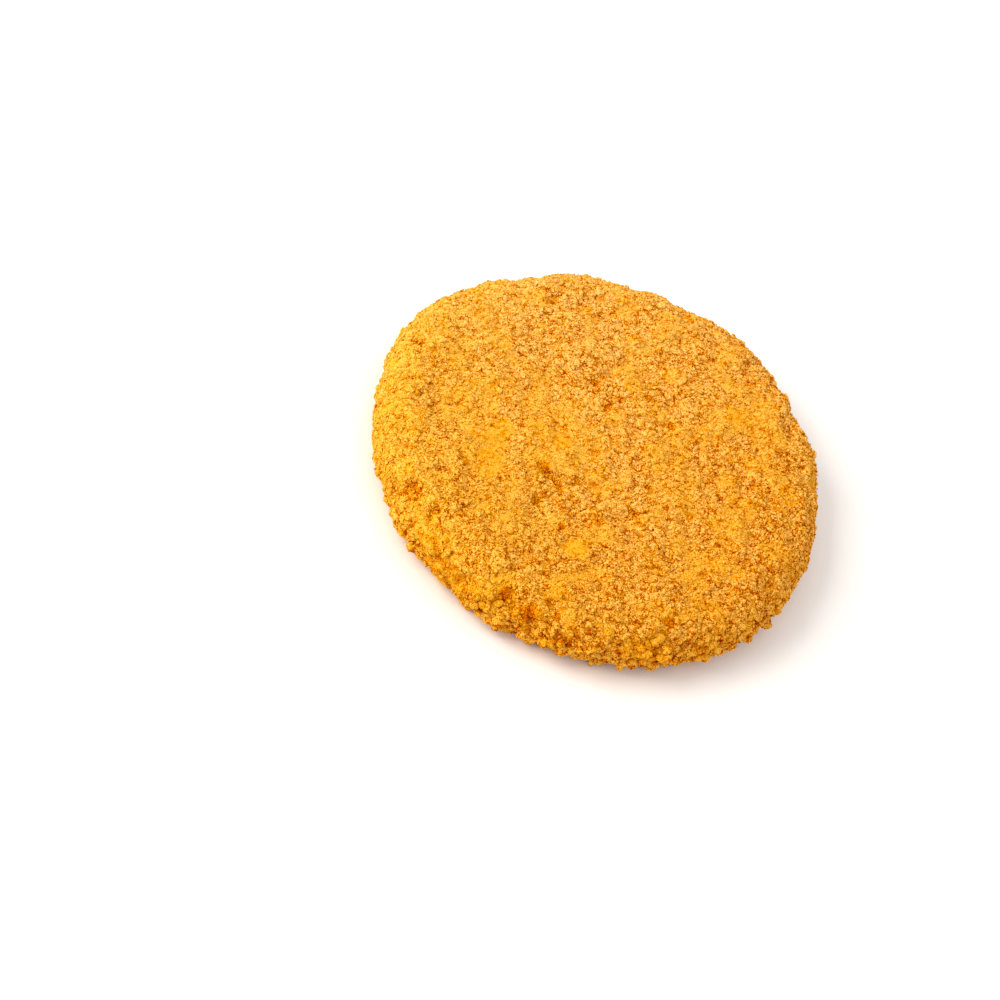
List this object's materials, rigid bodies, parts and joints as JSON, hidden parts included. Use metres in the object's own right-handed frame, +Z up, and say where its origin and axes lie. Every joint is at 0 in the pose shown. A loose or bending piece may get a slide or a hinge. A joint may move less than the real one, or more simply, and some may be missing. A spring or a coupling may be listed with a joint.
{
  "type": "breaded salmon burger",
  "caption": "Round flat fish burger patty in a crust of golden-orange breadcrumbs, with rounded shoulders and an uneven crumbed surface, lying flat.",
  "frame": {"origin": "middle of the flat foot that the patty lies on, which is the bottom centre of its box", "axes": "+Z up through the thickness of the patty; the patty is round, so +X and +Y only fix the place of its lumps and creases: +Y points away from the picture's camera"},
  "size_m": [0.1004, 0.1002, 0.0158],
  "materials": {
    "breadcrumb_crust": null
  },
  "bodies": {
    "root": {"patty": "breadcrumb_crust"}
  },
  "joints": []
}
